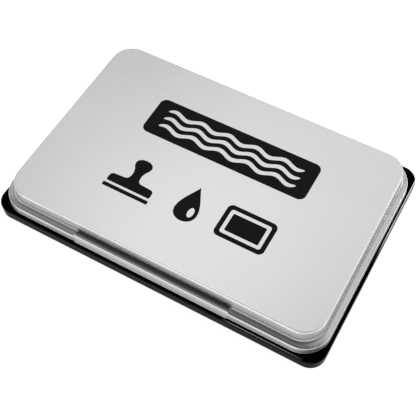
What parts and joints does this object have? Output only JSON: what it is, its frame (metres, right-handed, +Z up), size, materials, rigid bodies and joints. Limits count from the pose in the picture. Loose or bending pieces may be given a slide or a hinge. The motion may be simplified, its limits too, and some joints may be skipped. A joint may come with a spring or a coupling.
{
  "type": "ink pad",
  "caption": "Hinged metal ink pad: pressed silver lid with a thumb lip over a black tray that holds a cloth-covered felt pad.",
  "frame": {"origin": "centre of the tray's underside, on the surface the pad stands on", "axes": "+X along the long side, +Y towards the hinge, +Z up; the thumb lip faces -Y and the lid is closed"},
  "size_m": [0.126, 0.0866, 0.0135],
  "materials": {
    "tinplate": "satin tinplate with a very fine rolled grain",
    "black_lacquer": "glossy black lacquer",
    "steel_wire": "drawn steel wire",
    "pan_tin": "plain tinplate",
    "board": "grey-brown board",
    "foam": "ink-soaked open foam",
    "felt": "ink-soaked wool felt",
    "inked_cloth": "fine plain-weave cloth, damp with black ink",
    "black_plastic": "fine satin moulded plastic"
  },
  "bodies": {
    "base": {"base_tray": "black_lacquer", "hinge_pin_left": "steel_wire", "hinge_pin_right": "steel_wire", "pad_pan": "pan_tin", "backing_board": "board", "reservoir_foam": "foam", "felt_layer": "felt", "cover_cloth": "inked_cloth", "retaining_frame": "black_plastic"},
    "lid": {"lid_shell": "tinplate"}
  },
  "joints": [
    {"name": "lid_hinge", "type": "hinge", "parent": "base", "child": "lid", "pos_m": [0, 0.04315, 0.005], "axis": [-1, 0, 0], "range_deg": [0, 145]}
  ]
}
